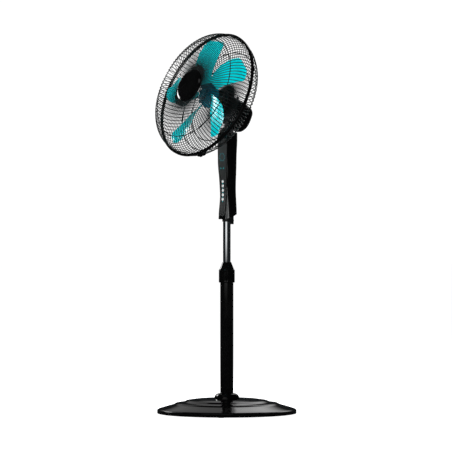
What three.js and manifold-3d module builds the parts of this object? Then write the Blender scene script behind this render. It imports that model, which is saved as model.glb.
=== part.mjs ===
// Pedestal fan with a weighted round base, a telescopic pole, a control neck and a tilting, swinging head.
// Millimetres, +Z up. The origin is on the floor, under the middle of the base. The fan faces -Y.
import * as THREE from "three";
import { mergeVertices } from "three/addons/utils/BufferGeometryUtils.js";
import Module from "manifold-3d";

const wasm = await Module();
wasm.setup();

// ---- Driving dimensions ----
const GAP = 0.3; // clearance between pieces that touch
const FIT = 0.35; // radial clearance where one piece turns or slides in another
const WALL = 2.5; // moulded plastic wall
const SMALL = 12; // sides of a small round piece
const ROUND = 20; // sides of a round piece
const FINE = 40; // sides of a large round piece

const BASE_RADIUS = 238;
const BASE_RISE = 53; // height of the cover at its middle
const BASE_EDGE = 15; // height of the upright outer edge
const FOOT_RADIUS = 11;
const FOOT_HEIGHT = 2;
const FOOT_COUNT = 4;
const FOOT_CIRCLE = BASE_RADIUS - 33;
const PLATE_THICKNESS = 2.4;
const WEIGHT_RADIUS = BASE_RADIUS - 40;
const WEIGHT_THICKNESS = 4;
const BOLT_RADIUS = 6;

const POLE_RADIUS = 22.5;
const POLE_WALL = 1.5;
const POLE_TOP = 478;
const LOCK_RADIUS = POLE_RADIUS + 4.8;
const LOCK_BOTTOM = 448;
const LOCK_SHOULDER = 493;
const LOCK_TOP = 518;
const COLUMN_RADIUS = 13;
const COLUMN_WALL = 1.2;
const COLUMN_BOTTOM = 330;
const COLUMN_TOP = 704;

const NECK_BOTTOM = 656; // lowest edge of the socket
const NECK_TOP = 960;
const NECK_FRONT_EDGE = 664; // bottom edge of the shells at the front
const NECK_REAR_EDGE = 684; // and at the rear
const PANEL_THICKNESS = 1.2;
const PANEL_TOP = 940;
const PANEL_BOTTOM = 676;
const BUTTON_COUNT = 5;
const BUTTON_TOP = 793; // height of the highest button
const BUTTON_PITCH = 15.2;
const BUTTON_WIDTH = 11;
const BUTTON_HEIGHT = 9.6;
const BUTTON_PROUD = 1.4;

const TILT_PIVOT = 965; // height of the tilt hinge
const AXIS_HEIGHT = 1051; // height at which the fan's axis crosses the pole's
const REST_TILT = THREE.MathUtils.degToRad(21.5);
const KNUCKLE_RADIUS = 14;
const KNUCKLE_HALF = 14;
const TILT_PIN_RADIUS = 4;
const SWING_POST_RADIUS = 5.5;
const CRANK_THROW = 12;

const MOTOR_FRONT = 20.5; // front face, ahead of the pole's axis along the fan's axis
const MOTOR_SPLIT = -10;
const MOTOR_BACK = -96;
const STATOR_RADIUS = 29.5;
const STATOR_BACK = -28;
const STATOR_FRONT = -8;
const ROTOR_RADIUS = 16;
const SHAFT_RADIUS = 4;
const SHAFT_FRONT = 118;
const BOSS_RADIUS = 22; // threaded boss that carries the guards
const BOSS_FRONT = 33;

const RIM_PLANE = 96.5; // plane of the guard's rim, ahead of the pole's axis
const RIM_RADIUS = 225; // outer radius of the guard ring
const RIM_WIDTH = 9.2;
const WIRE = 2.4; // thickness of a guard wire
const WIRE_COUNT = 12; // each stands for several fine wires
const FRONT_PLATE_RADIUS = 57;
const REAR_PLATE_RADIUS = 50;
const NUT_RADIUS = 45;
const NUT_FRONT = 37.5;
const CLAMP_TURN = THREE.MathUtils.degToRad(18.5); // the rim's clamp sits this far from straight down
const FRONT_DEPTH = 78; // from the rim plane to the guard's front plate
const BADGE_RADIUS = 57.5;

const BLADE_COUNT = 5;
const BLADE_ROOT = 27; // inside the hub, where the root is trimmed
const BLADE_TIP = RIM_RADIUS - 27;
const HUB_RADIUS = 40;
const HUB_BACK = 76;
const HUB_FRONT = 108;
const BLADE_THICKNESS = 2;
const BLADE_START = THREE.MathUtils.degToRad(14.6);

// ---- Finishes ----
const look = (color, roughness, metalness = 0) => ({ color, roughness, metalness });
const GLOSS_BLACK = look(0x080808, 0.2);
const SATIN_BLACK = look(0x141516, 0.5);
const PANEL_GREY = look(0x232626, 0.45);
const WIRE_GREY = look(0x2a2c2c, 0.4, 0.3);
const TEAL = look(0x00a0a6, 0.25);
const SILVER = look(0xe6e8e8, 0.3);
const CHROME = look(0xd8dadc, 0.08, 1);
const STEEL = look(0x9a9c9e, 0.35, 0.9);
const CAST = look(0x4a4c4e, 0.6, 0.8);
const COPPER = look(0xb87333, 0.4, 0.9);
const BRONZE = look(0xa9843f, 0.45, 0.8);
const RUBBER = look(0x1a1a1a, 0.8);
const BOARD = look(0x1f5a3a, 0.5);

// ---- Shapes ----

// A round piece about +Z from (radius, height) points. The outline closes on itself, or on the axis.
function turned(profile, sides = ROUND) {
  const points = profile.map(([radius, height]) => new THREE.Vector2(radius, height));
  const closed = profile[0][0] > 0 || profile.at(-1)[0] > 0;
  if (closed) points.push(points[0].clone());
  return new THREE.LatheGeometry(points, sides).rotateX(Math.PI / 2);
}

const rod = (radius, low, high, sides) =>
  turned([[0, low], [radius, low], [radius, high], [0, high]], sides);

const tube = (inner, outer, low, high, sides) =>
  turned([[inner, low], [outer, low], [outer, high], [inner, high]], sides);

function block(x, y, z) {
  const size = [x, y, z].map(([low, high]) => high - low);
  const middle = [x, y, z].map(([low, high]) => (low + high) / 2);
  return new THREE.BoxGeometry(...size).translate(...middle);
}

// Turns a piece made about +Z so that it lies along X or Y.
const alongX = (geometry) => geometry.rotateY(Math.PI / 2);
const alongY = (geometry) => geometry.rotateX(-Math.PI / 2);

// A skin through closed outlines of equal length, with a flat cap at each end.
function loft(outlines) {
  const count = outlines[0].length;
  const faces = [];
  for (let row = 0; row + 1 < outlines.length; row += 1) {
    for (let i = 0; i < count; i += 1) {
      const next = (i + 1) % count;
      const [a, b] = [row * count + i, row * count + next];
      faces.push(a, b, b + count, a, b + count, a + count);
    }
  }
  const last = (outlines.length - 1) * count;
  for (let i = 1; i + 1 < count; i += 1) {
    faces.push(0, i + 1, i, last, last + i, last + i + 1);
  }
  const geometry = new THREE.BufferGeometry();
  geometry.setAttribute("position", new THREE.Float32BufferAttribute(outlines.flat(2), 3));
  geometry.setIndex(faces);
  return geometry;
}

// A closed geometry as a solid that faces outwards.
function solid(geometry) {
  const bare = new THREE.BufferGeometry();
  bare.setAttribute("position", geometry.getAttribute("position"));
  bare.setIndex(geometry.index);
  const merged = mergeVertices(bare, 1e-4);
  const triVerts = new Uint32Array(merged.index.array);
  const vertProperties = new Float32Array(merged.attributes.position.array);
  const make = () => new wasm.Manifold(new wasm.Mesh({ numProp: 3, vertProperties, triVerts }));
  const made = make();
  if (made.volume() > 0) return made;
  for (let i = 0; i < triVerts.length; i += 3) {
    [triVerts[i], triVerts[i + 1]] = [triVerts[i + 1], triVerts[i]];
  }
  return make();
}

const asSolid = (shape) => (shape.isBufferGeometry ? solid(shape) : shape);
const join = (...shapes) => shapes.map(asSolid).reduce((whole, shape) => whole.add(shape));
const cut = (shape, ...tools) =>
  tools.map(asSolid).reduce((rest, tool) => rest.subtract(tool), asSolid(shape));

// A six-sided nut along X.
const hexNut = (bore, corner, low, high) =>
  cut(alongX(rod(corner, low, high, 6)), alongX(rod(bore, low - 1, high + 1, SMALL)));

// Adds a solid to a group as a named mesh.
function piece(group, name, shape, finish) {
  const { vertProperties, triVerts } = asSolid(shape).getMesh();
  const geometry = new THREE.BufferGeometry();
  geometry.setAttribute("position", new THREE.BufferAttribute(vertProperties, 3));
  geometry.setIndex(new THREE.BufferAttribute(triVerts, 1));
  geometry.computeVertexNormals();
  const mesh = new THREE.Mesh(geometry, new THREE.MeshStandardMaterial(finish));
  mesh.name = name;
  group.add(mesh);
  return mesh;
}

// Reads a smooth value between the [place, value] rows of a table.
function between(rows, place) {
  const curve = (t) => t * t * (3 - 2 * t);
  const first = rows[0];
  const end = rows.at(-1);
  if (place <= first[0]) return first[1];
  if (place >= end[0]) return end[1];
  const next = rows.findIndex(([at]) => at > place);
  const [[at0, value0], [at1, value1]] = [rows[next - 1], rows[next]];
  return value0 + (value1 - value0) * curve((place - at0) / (at1 - at0));
}

// ---- Base ----
const plateLow = FOOT_HEIGHT + GAP;
const plateHigh = plateLow + PLATE_THICKNESS;
const weightHigh = plateHigh + GAP + WEIGHT_THICKNESS;
const boltHeadLow = plateLow;
const boltHeadHigh = boltHeadLow + 7;
const flangeTop = boltHeadHigh + 2;
const bossLow = flangeTop + GAP;
const poleLow = BASE_RISE + GAP;

function makeBase() {
  const group = new THREE.Group();
  // Top surface of the cover, from the edge to the middle, as shares of its radius and rise.
  const top = [
    [1, BASE_EDGE / BASE_RISE],
    [0.975, 0.34],
    [0.916, 0.42],
    [0.757, 0.63],
    [0.735, 0.69],
    [0.63, 0.75],
    [0.576, 0.87],
    [0.46, 0.945],
    [0.18, 1],
  ].map(([radius, rise]) => [radius * BASE_RADIUS, rise * BASE_RISE]);
  const under = [top[8], top[7], top[5], top[3], top[1]];
  const inside = under.map(([radius, height]) => [radius - WALL, height - WALL - 0.5]);
  const boss = BOLT_RADIUS + 2 * WALL + 6;
  const cover = turned(
    [
      [BASE_RADIUS, FOOT_HEIGHT],
      ...top,
      [BOLT_RADIUS + FIT, BASE_RISE],
      [BOLT_RADIUS + FIT, bossLow],
      [boss, bossLow],
      ...inside,
      [BASE_RADIUS - WALL, BASE_EDGE - WALL],
      [BASE_RADIUS - WALL, FOOT_HEIGHT],
    ],
    FINE,
  );
  piece(group, "base_cover", cover, GLOSS_BLACK);

  const plateRadius = BASE_RADIUS - WALL - GAP;
  const opening = 24;
  piece(group, "base_plate", tube(opening, plateRadius, plateLow, plateHigh, FINE), SATIN_BLACK);
  piece(group, "base_weight", tube(opening, WEIGHT_RADIUS, plateHigh + GAP, weightHigh, FINE), CAST);
  for (let i = 0; i < FOOT_COUNT; i += 1) {
    const angle = ((i + 0.5) / FOOT_COUNT) * 2 * Math.PI;
    const foot = piece(group, `foot_pad_${i + 1}`, rod(FOOT_RADIUS, 0, FOOT_HEIGHT, SMALL), RUBBER);
    foot.position.set(FOOT_CIRCLE * Math.cos(angle), FOOT_CIRCLE * Math.sin(angle), 0);
  }

  const bolt = join(
    rod(BOLT_RADIUS * 1.8, boltHeadLow, boltHeadHigh, 6),
    rod(boss, boltHeadHigh, flangeTop),
    rod(BOLT_RADIUS, boltHeadLow + 1, poleLow + 34, ROUND),
  );
  piece(group, "pole_bolt", bolt, STEEL);
  const plug = tube(BOLT_RADIUS + FIT, POLE_RADIUS - POLE_WALL - GAP, poleLow, poleLow + 26);
  piece(group, "pole_plug", plug, CAST);

  const skirt = POLE_RADIUS + 21;
  const collar = turned([
    [POLE_RADIUS + FIT, poleLow],
    [skirt, poleLow],
    [skirt, poleLow + 3.5],
    [skirt - 3.5, poleLow + 10.5],
    [skirt - 10, poleLow + 16],
    [skirt - 15, poleLow + 17],
    [POLE_RADIUS + 2.5, poleLow + 17],
    [POLE_RADIUS + FIT, poleLow + 15.5],
  ], ROUND);
  piece(group, "pole_collar", collar, GLOSS_BLACK);
  return group;
}

// ---- Pole ----
function makePole() {
  const group = new THREE.Group();
  const poleInner = POLE_RADIUS - POLE_WALL;
  piece(group, "outer_pole", tube(poleInner, POLE_RADIUS, poleLow, POLE_TOP, ROUND), GLOSS_BLACK);
  const collet = cut(
    tube(COLUMN_RADIUS + FIT, poleInner - GAP, LOCK_BOTTOM - 20, POLE_TOP + 4),
    block([-1.2, 1.2], [0, POLE_RADIUS], [LOCK_BOTTOM, POLE_TOP + 5]),
  );
  piece(group, "pole_collet", collet, SATIN_BLACK);
  const nose = COLUMN_RADIUS + 2;
  const lock = turned([
    [POLE_RADIUS + FIT, LOCK_BOTTOM],
    [LOCK_RADIUS, LOCK_BOTTOM],
    [LOCK_RADIUS, LOCK_SHOULDER],
    [LOCK_RADIUS - 3.8, LOCK_SHOULDER + 1.5],
    [nose + 1.4, LOCK_TOP - 4],
    [nose, LOCK_TOP],
    [COLUMN_RADIUS + FIT, LOCK_TOP],
    [COLUMN_RADIUS + FIT, POLE_TOP + 16],
    [POLE_RADIUS + FIT, POLE_TOP + 6],
  ], ROUND);
  piece(group, "lock_collar", lock, GLOSS_BLACK);
  const columnInner = COLUMN_RADIUS - COLUMN_WALL;
  piece(group, "inner_pole", tube(columnInner, COLUMN_RADIUS, COLUMN_BOTTOM, COLUMN_TOP, ROUND), CHROME);
  return group;
}

// ---- Neck ----
// Half width, and how far the front and the rear stand from the pole's axis, by height.
const neckHalf = (z) => between([[660, 25.6], [757, 22.4], [860, 26], [940, 27]], z);
const neckFront = (z) =>
  COLUMN_RADIUS + between([[660, 9], [757, 2.6], [860, 6.4], [940, 6.8]], z);
const neckRear = (z) => between([[660, 37.8], [757, 34.8], [860, 36.4], [940, 40]], z);
const panelHalf = (z) => between([[660, 17], [757, 15.5], [870, 23.6], [940, 24.4]], z);
const neckChamfer = (z) => between([[660, 12], [775, 3]], z);

// One level outline of the neck, drawn in by an inset.
function neckOutline(z, inset) {
  const half = neckHalf(z) - inset;
  const front = -(neckFront(z) - inset);
  const rear = neckRear(z) - inset;
  const chamfer = neckChamfer(z);
  const flat = Math.min(panelHalf(z) + 1, half - 1.5);
  const outline = [[-flat, front, z], [flat, front, z], [half, front + chamfer, z]];
  const steps = 8;
  for (let i = 0; i <= steps; i += 1) {
    const angle = (i / steps) * Math.PI;
    outline.push([half * Math.cos(angle), rear * Math.sin(angle) ** 0.8, z]);
  }
  outline.push([-half, front + chamfer, z]);
  return outline;
}

function neckBody(inset, low, high) {
  const levels = 6;
  const outlines = [];
  for (let i = 0; i <= levels; i += 1) {
    outlines.push(neckOutline(low + ((high - low) * i) / levels, inset));
  }
  return loft(outlines);
}

const buttonHeights = Array.from({ length: BUTTON_COUNT }, (_, i) => BUTTON_TOP - i * BUTTON_PITCH);
const neckScrews = [[-17, 730], [17, 730], [0, 884]];

// A button or its hole, along Y from front to back.
function buttonForm(z, grow, from, to) {
  const oval = new THREE.Shape();
  oval.absellipse(0, 0, BUTTON_WIDTH / 2 + grow, BUTTON_HEIGHT / 2 + grow, 0, 2 * Math.PI, false);
  const form = new THREE.ExtrudeGeometry(oval, {
    depth: to - from,
    curveSegments: 8,
    bevelEnabled: false,
  });
  return alongY(form).translate(0, from, z);
}

function makeNeck() {
  const group = new THREE.Group();
  const below = NECK_FRONT_EDGE - 12;
  const slope = Math.atan2(NECK_REAR_EDGE - NECK_FRONT_EDGE, neckFront(660) + neckRear(660));
  const underside = block([-60, 60], [-80, 80], [-60, 0])
    .rotateX(slope)
    .translate(0, -neckFront(660), NECK_FRONT_EDGE);
  const opening = block(
    [-KNUCKLE_HALF - 9.6, KNUCKLE_HALF + 9.6],
    [-KNUCKLE_RADIUS - 2, KNUCKLE_RADIUS + 2],
    [NECK_TOP - 2 * WALL, NECK_TOP + 10],
  );
  const shell = cut(
    neckBody(0, below, NECK_TOP),
    neckBody(WALL, below - 5, NECK_TOP - WALL),
    underside,
    opening,
  );
  const boardY = -neckFront(757) + WALL + 6;
  const boardLow = COLUMN_TOP + 20;
  const boardHigh = 862;
  const frontHalf = block([-60, 60], [-80, -GAP / 2], [600, 1000]);
  const rearHalf = block([-60, 60], [GAP / 2, 80], [600, 1000]);
  const postRadius = 4;
  const inside = asSolid(neckBody(WALL / 2, below, NECK_TOP));
  const post = (x, z, low, high) =>
    alongY(rod(postRadius, low, high, SMALL)).translate(x, 0, z);
  const frontPosts = neckScrews.map(([x, z]) =>
    asSolid(post(x, z, -30, -GAP / 2)).intersect(inside),
  );
  const rearPosts = neckScrews.map(([x, z]) => asSolid(post(x, z, GAP / 2, 60)).intersect(inside));
  const screwSeat = 14;
  const pilot = neckScrews.map(([x, z]) => alongY(rod(1.9, -9, 60, SMALL)).translate(x, 0, z));
  const seats = neckScrews.map(([x, z]) => alongY(rod(3.4, screwSeat, 60, SMALL)).translate(x, 0, z));
  const holes = buttonHeights.map((z) => buttonForm(z, FIT, -40, 0));
  const front = cut(join(asSolid(shell).intersect(asSolid(frontHalf)), ...frontPosts), ...pilot, ...holes);
  piece(group, "neck_front", front, GLOSS_BLACK);

  const glandZ = 712;
  const glandHole = alongY(rod(4.5, 20, 60, SMALL)).translate(0, 0, glandZ);
  const rear = cut(
    join(asSolid(shell).intersect(asSolid(rearHalf)), ...rearPosts),
    ...pilot,
    ...seats,
    glandHole,
  );
  piece(group, "neck_rear", rear, GLOSS_BLACK);
  const glandWall = neckRear(glandZ);
  const gland = join(
    alongY(tube(2.2, 4.2, glandWall - 8, glandWall + 1.5, SMALL)),
    alongY(tube(2.2, 6.6, glandWall + GAP, glandWall + 1.5, SMALL)),
  );
  piece(group, "cord_gland", gland, RUBBER).position.z = glandZ;
  neckScrews.forEach(([x, z], i) => {
    const screw = join(
      alongY(rod(1.6, -8, screwSeat + 1, SMALL)),
      alongY(rod(3.1, screwSeat + GAP, screwSeat + 2.7, SMALL)),
    );
    piece(group, `neck_screw_${i + 1}`, screw, STEEL).position.set(x, 0, z);
  });

  // The overlay follows the flat front of the neck.
  const overlay = [];
  const steps = 8;
  for (let i = 0; i <= steps; i += 1) {
    const z = PANEL_BOTTOM + ((PANEL_TOP - PANEL_BOTTOM) * i) / steps;
    const face = -neckFront(z) - GAP - PANEL_THICKNESS;
    const [half, back] = [panelHalf(z), face + 4];
    overlay.push([[-half, face, z], [half, face, z], [half, back, z], [-half, back, z]]);
  }
  const panel = cut(loft(overlay), neckBody(-GAP, below, NECK_TOP), ...holes);
  piece(group, "control_panel", panel, PANEL_GREY);

  const board = block([-12.5, 12.5], [boardY, boardY + 1.6], [boardLow, boardHigh]);
  piece(group, "control_board", board, BOARD);
  buttonHeights.forEach((z, i) => {
    const face = -neckFront(z) - GAP - PANEL_THICKNESS - BUTTON_PROUD;
    piece(group, `button_${i + 1}`, buttonForm(z, 0, face, boardY - 1.5), SILVER);
  });

  // The socket clamps the neck to the inner pole.
  const socketOuter = COLUMN_RADIUS + 2.6;
  const socket = cut(
    join(
      rod(socketOuter, NECK_BOTTOM, COLUMN_TOP + 10),
      block([-7, 7], [10, 25], [NECK_BOTTOM - 9, NECK_BOTTOM + 34]),
    ),
    rod(COLUMN_RADIUS + GAP, NECK_BOTTOM - 20, COLUMN_TOP + GAP),
    rod(6, COLUMN_TOP, COLUMN_TOP + 20, SMALL),
    alongY(rod(2.2, 0, 40, SMALL)).translate(0, 0, NECK_BOTTOM + 4),
  );
  const room = asSolid(neckBody(WALL + GAP, NECK_BOTTOM - 12, NECK_TOP));
  piece(group, "neck_socket", socket.intersect(room), SATIN_BLACK);
  const socketScrew = join(
    alongY(rod(1.9, COLUMN_RADIUS + 0.6, 28.5, SMALL)),
    alongY(rod(4.2, 25 + GAP, 28.5, SMALL)),
  );
  piece(group, "socket_screw", socketScrew, STEEL).position.z = NECK_BOTTOM + 4;

  // The fork holds the tilt hinge between two cheeks.
  const cheekIn = KNUCKLE_HALF + FIT;
  const cheekOut = KNUCKLE_HALF + 5;
  const cheekRadius = KNUCKLE_RADIUS - 1.5;
  const cheek = (from, to) =>
    join(
      alongX(rod(cheekRadius, from, to)).translate(0, 0, TILT_PIVOT),
      block([from, to], [-cheekRadius, cheekRadius], [NECK_TOP - 46, TILT_PIVOT]),
    );
  const fork = cut(
    join(
      cheek(-cheekOut, -cheekIn),
      cheek(cheekIn, cheekOut),
      block([-neckHalf(915) + 5.5, neckHalf(915) - 5.5], [-cheekRadius, cheekRadius], [905, 922]),
    ),
    alongX(rod(TILT_PIN_RADIUS + FIT, -40, 40, ROUND)).translate(0, 0, TILT_PIVOT),
  );
  piece(group, "tilt_fork", fork, SATIN_BLACK);
  const pin = join(
    alongX(rod(TILT_PIN_RADIUS, -cheekOut - 3.6, cheekOut + 3.6, ROUND)),
    alongX(rod(6.4, cheekOut + GAP, cheekOut + 3.6, 6)),
  );
  piece(group, "tilt_pin", pin, STEEL).position.z = TILT_PIVOT;
  const nut = hexNut(TILT_PIN_RADIUS + FIT, 6.6, -cheekOut - 3.6, -cheekOut - GAP);
  piece(group, "tilt_nut", nut, STEEL).position.z = TILT_PIVOT;
  return group;
}

// ---- Head ----
// The head is drawn upright about its own axis: +Z forward along the fan's axis, +Y up, zero at the pole.
const pivotUp = -(AXIS_HEIGHT - TILT_PIVOT) * Math.cos(REST_TILT);
const pivotForward = -(AXIS_HEIGHT - TILT_PIVOT) * Math.sin(REST_TILT);
const shelfLow = -50;
const flangeHigh = -56;
const flangeRadius = CRANK_THROW + 3.4;
const crankForward = pivotForward - 39;
const linkLow = flangeHigh + 1.5;
const linkHigh = linkLow + 1.6;

// The knuckle and post that carry the head over the tilt hinge.
function makeTiltBracket(group) {
  const bracket = cut(
    join(
      alongX(rod(KNUCKLE_RADIUS, -KNUCKLE_HALF, KNUCKLE_HALF)).translate(0, pivotUp, pivotForward),
      block([-9, 9], [pivotUp, flangeHigh - 3], [pivotForward - 10, pivotForward + 10]),
      alongY(rod(flangeRadius, flangeHigh - 6, flangeHigh)).translate(0, 0, pivotForward),
      alongY(rod(SWING_POST_RADIUS, flangeHigh - 1, shelfLow + 9, ROUND)).translate(0, 0, pivotForward),
      alongY(rod(2, flangeHigh - 1, flangeHigh + 1, SMALL)).translate(CRANK_THROW, 0, pivotForward),
    ),
    alongX(rod(TILT_PIN_RADIUS + FIT, -40, 40, ROUND)).translate(0, pivotUp, pivotForward),
  );
  piece(group, "tilt_bracket", bracket, SATIN_BLACK);
}

// Rear cover: how far it stands above, below and beside the fan's axis.
const coverTop = (z) => between([[-96, 8], [-94, 17], [-86, 26], [-70, 31], [-10, 35.5]], z);
const coverBottom = (z) => between([[-96, 36], [-94, 46], [-86, 59], [-74, 64], [-34, 61], [-10, 49]], z);
const coverSide = (z) => between([[-96, 18], [-94, 28], [-86, 39], [-66, 47], [-10, 46]], z);

function coverOutline(z, inset) {
  const outline = [];
  const rounded = (value) => Math.sign(value) * Math.abs(value) ** 0.82;
  for (let k = 0; k < ROUND; k += 1) {
    const angle = (k / ROUND) * 2 * Math.PI;
    const [c, s] = [Math.cos(angle), Math.sin(angle)];
    const upright = s > 0 ? coverTop(z) : coverBottom(z);
    outline.push([(coverSide(z) - inset) * rounded(c), (upright - inset) * rounded(s), z]);
  }
  return outline;
}

function coverBody(inset, back, front) {
  const steps = 8;
  const outlines = [];
  for (let i = 0; i <= steps; i += 1) {
    const share = (i / steps) ** 1.7;
    outlines.push(coverOutline(back + (front - back) * share, inset));
  }
  return loft(outlines);
}

function makeMotor(group) {
  const knobForward = -35;
  const slots = [-3, -11, -19, -27].map((y) =>
    block([-11, 11], [y - 1.5, y + 1.5], [MOTOR_BACK - 5, MOTOR_BACK + 5]),
  );
  const rear = cut(
    coverBody(0, MOTOR_BACK, MOTOR_SPLIT),
    coverBody(WALL, MOTOR_BACK + WALL, MOTOR_SPLIT + 2),
    alongY(rod(flangeRadius + 1, -80, -40)).translate(0, 0, pivotForward),
    alongY(rod(3 + FIT, 20, 60, SMALL)).translate(0, 0, knobForward),
    ...slots,
  );
  piece(group, "motor_rear_cover", rear, GLOSS_BLACK);

  const bore = BOSS_RADIUS - 9.5;
  const front = cut(
    join(
      loft([
        coverOutline(MOTOR_SPLIT + GAP, 0),
        coverOutline(MOTOR_FRONT - 5, 0),
        coverOutline(MOTOR_FRONT, 4),
      ]),
      rod(BOSS_RADIUS, MOTOR_FRONT - WALL, BOSS_FRONT),
    ),
    loft([coverOutline(MOTOR_SPLIT - 1, WALL), coverOutline(MOTOR_FRONT - 8, WALL)]),
    loft([coverOutline(MOTOR_FRONT - 8.1, WALL), coverOutline(MOTOR_FRONT - WALL, WALL + 5)]),
    rod(bore, MOTOR_FRONT - 2 * WALL, BOSS_FRONT + 1),
  );
  piece(group, "motor_front_cover", front, SATIN_BLACK);

  const statorHole = ROTOR_RADIUS + GAP;
  piece(group, "stator", tube(statorHole, STATOR_RADIUS, STATOR_BACK, STATOR_FRONT), STEEL);
  const winding = (from, to) =>
    turned([
      [ROTOR_RADIUS + 3, from],
      [STATOR_RADIUS - 2, from],
      [STATOR_RADIUS - 3, to],
      [ROTOR_RADIUS + 4, to],
    ], ROUND);
  piece(group, "winding_front", winding(STATOR_FRONT + GAP, STATOR_FRONT + 9), COPPER);
  piece(group, "winding_rear", winding(STATOR_BACK - GAP, STATOR_BACK - 9), COPPER);

  // The rear bracket closes the motor and holds the swing bearing on a shelf.
  const bracketFront = STATOR_BACK - 13;
  const bracketBack = bracketFront - 3;
  const bushOuter = SWING_POST_RADIUS + 3.5;
  const bracket = cut(
    join(
      rod(STATOR_RADIUS - 1, bracketBack, bracketFront),
      block([-12, 12], [shelfLow, -20], [bracketBack, bracketFront]),
      block([-12, 12], [shelfLow, shelfLow + 3], [bracketBack, pivotForward + 12]),
    ),
    rod(9 + GAP, bracketBack - 5, bracketFront + 5, ROUND),
    alongY(rod(bushOuter + GAP, shelfLow - 5, shelfLow + 6, ROUND)).translate(0, 0, pivotForward),
  );
  piece(group, "motor_bracket", bracket, CAST);
  const bush = alongY(tube(SWING_POST_RADIUS + FIT, bushOuter, shelfLow, shelfLow + 8, ROUND));
  piece(group, "swing_bush", bush, BRONZE).position.z = pivotForward;
  const bearing = (from, to, outer) => tube(SHAFT_RADIUS + FIT, outer, from, to, ROUND);
  piece(group, "rear_bearing", bearing(bracketBack, bracketFront, 9), BRONZE);
  const frontBearing = bearing(MOTOR_FRONT + 1, BOSS_FRONT - 3, bore - GAP);
  piece(group, "front_bearing", frontBearing, BRONZE);
  const motorCan = alongY(rod(11, shelfLow, shelfLow + 15, ROUND));
  piece(group, "swing_motor", motorCan, STEEL).position.z = crankForward;
  const capacitor = block([-16, 16], [-8, 14], [bracketBack - 16, bracketBack - 4]);
  piece(group, "run_capacitor", capacitor, SATIN_BLACK);

  const knob = join(
    alongY(rod(3, coverTop(knobForward), coverTop(knobForward) + 5, SMALL)),
    alongY(turned([[0, 4.5], [4, 4.5], [4.8, 6], [4.8, 13], [3.8, 14], [0, 14]], ROUND))
      .translate(0, coverTop(knobForward), 0),
  );
  piece(group, "swing_knob", knob, SATIN_BLACK).position.z = knobForward;
}

// Crank and link of the swing drive. The link's eye rides just over the stud on the tilt bracket.
function makeSwingDrive(group) {
  const crank = join(
    alongY(rod(4.5, linkHigh + GAP, shelfLow - GAP, SMALL)),
    block([0, CRANK_THROW], [linkHigh + GAP, shelfLow - GAP - 1], [-3.5, 3.5]),
    alongY(rod(3.5, linkHigh + GAP, shelfLow - GAP - 1, SMALL)).translate(CRANK_THROW, 0, 0),
    alongY(rod(1.5, linkLow, linkHigh + 1, SMALL)).translate(CRANK_THROW, 0, 0),
  );
  piece(group, "swing_crank", crank, SATIN_BLACK).position.z = crankForward;
  const length = pivotForward - crankForward;
  const link = cut(
    join(
      alongY(rod(4, linkLow, linkHigh, SMALL)),
      alongY(rod(4, linkLow, linkHigh, SMALL)).translate(0, 0, length),
      block([-2.5, 2.5], [linkLow, linkHigh], [0, length]),
    ),
    alongY(rod(1.5 + FIT, linkLow - 2, linkHigh + 2, SMALL)),
    alongY(rod(2 + FIT, linkLow - 2, linkHigh + 2, SMALL)).translate(0, 0, length),
  );
  piece(group, "swing_link", link, STEEL).position.set(CRANK_THROW, 0, crankForward);
}

// A flat wire bent through (radius, height) points in one radial plane.
function bentWire(points) {
  const along = points.map(([radius, height]) => new THREE.Vector2(radius, height));
  const sides = [[], []];
  along.forEach((point, i) => {
    const ahead = along[Math.min(i + 1, along.length - 1)];
    const behind = along[Math.max(i - 1, 0)];
    const across = ahead.clone().sub(behind).normalize();
    const normal = new THREE.Vector2(-across.y, across.x).multiplyScalar(WIRE / 2);
    sides[0].push(point.clone().add(normal));
    sides[1].push(point.clone().sub(normal));
  });
  const outline = new THREE.Shape([...sides[0], ...sides[1].reverse()]);
  const wire = new THREE.ExtrudeGeometry(outline, { depth: WIRE, bevelEnabled: false });
  return wire.translate(0, 0, -WIRE / 2).rotateX(Math.PI / 2);
}

const wireRing = (radius, height) =>
  tube(radius - WIRE / 2, radius + WIRE / 2, height - WIRE / 2, height + WIRE / 2, 2 * WIRE_COUNT);

// Wire radii run from the rim to the plate. "side" is 1 for the front guard and -1 for the rear one.
function makeGuard(group, name, side, points, plate, rings) {
  const rimRadius = RIM_RADIUS - 4.2;
  const rim = tube(rimRadius - 1.6, rimRadius + 1.6, side * 0.2, side * 3, FINE);
  const path = [[rimRadius, side * 1.7], [RIM_RADIUS - 9.4, side * 2], ...points];
  const wires = [];
  for (let i = 0; i < WIRE_COUNT; i += 1) {
    const angle = ((i + 0.5) / WIRE_COUNT) * 2 * Math.PI;
    wires.push(bentWire(path).rotateZ(angle));
  }
  const guard = join(rim, plate, ...rings.map(([radius, height]) => wireRing(radius, height)), ...wires);
  piece(group, name, guard, WIRE_GREY).position.z = RIM_PLANE;
}

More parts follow.
